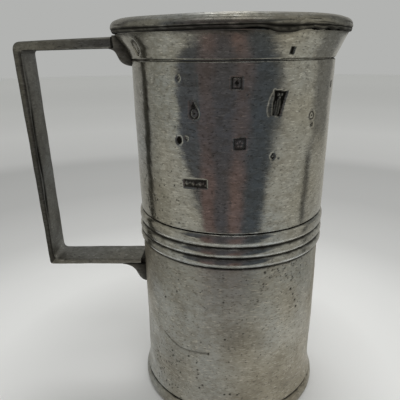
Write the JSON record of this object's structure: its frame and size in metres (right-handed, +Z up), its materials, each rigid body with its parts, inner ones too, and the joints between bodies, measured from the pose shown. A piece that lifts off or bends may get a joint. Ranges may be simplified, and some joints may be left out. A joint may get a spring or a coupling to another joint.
{
  "type": "pewter wine measure",
  "caption": "Tall lidless cylindrical pewter measure with a flared lip, a reeded girdle round its middle, a ring foot and an angular strap handle on two drip-shaped lugs.",
  "frame": {"origin": "on the surface the foot stands on, under the middle of the whole measure, handle included", "axes": "+Z up along the vessel's axis, -X towards the handle, Y across the handle's flat strap"},
  "size_m": [0.154, 0.107, 0.1863],
  "materials": {
    "pewter_body": "old pewter, turned and hand-rubbed to a soft uneven shine, with dirt in the grooves, pits and punch marks",
    "pewter_rim": "old pewter, worn smooth on its crest and dark in its fillets",
    "pewter_inside": "dull oxidised pewter with faint turning rings",
    "pewter_handle": "darker cast pewter, polished by the hand on its edges, lightly pitted",
    "solder": "dull grey soft solder"
  },
  "bodies": {
    "root": {"foot_ring": "pewter_body", "base_plate": "pewter_inside", "base_seam_solder": "solder", "lower_barrel": "pewter_body", "mid_seam_solder": "solder", "girdle": "pewter_body", "upper_barrel": "pewter_body", "lip_collar": "pewter_body", "rim_moulding": "pewter_rim", "handle_strap": "pewter_handle", "upper_lug": "pewter_handle", "lower_lug": "pewter_handle", "upper_bar_solder": "solder", "lower_bar_solder": "solder"}
  },
  "joints": []
}
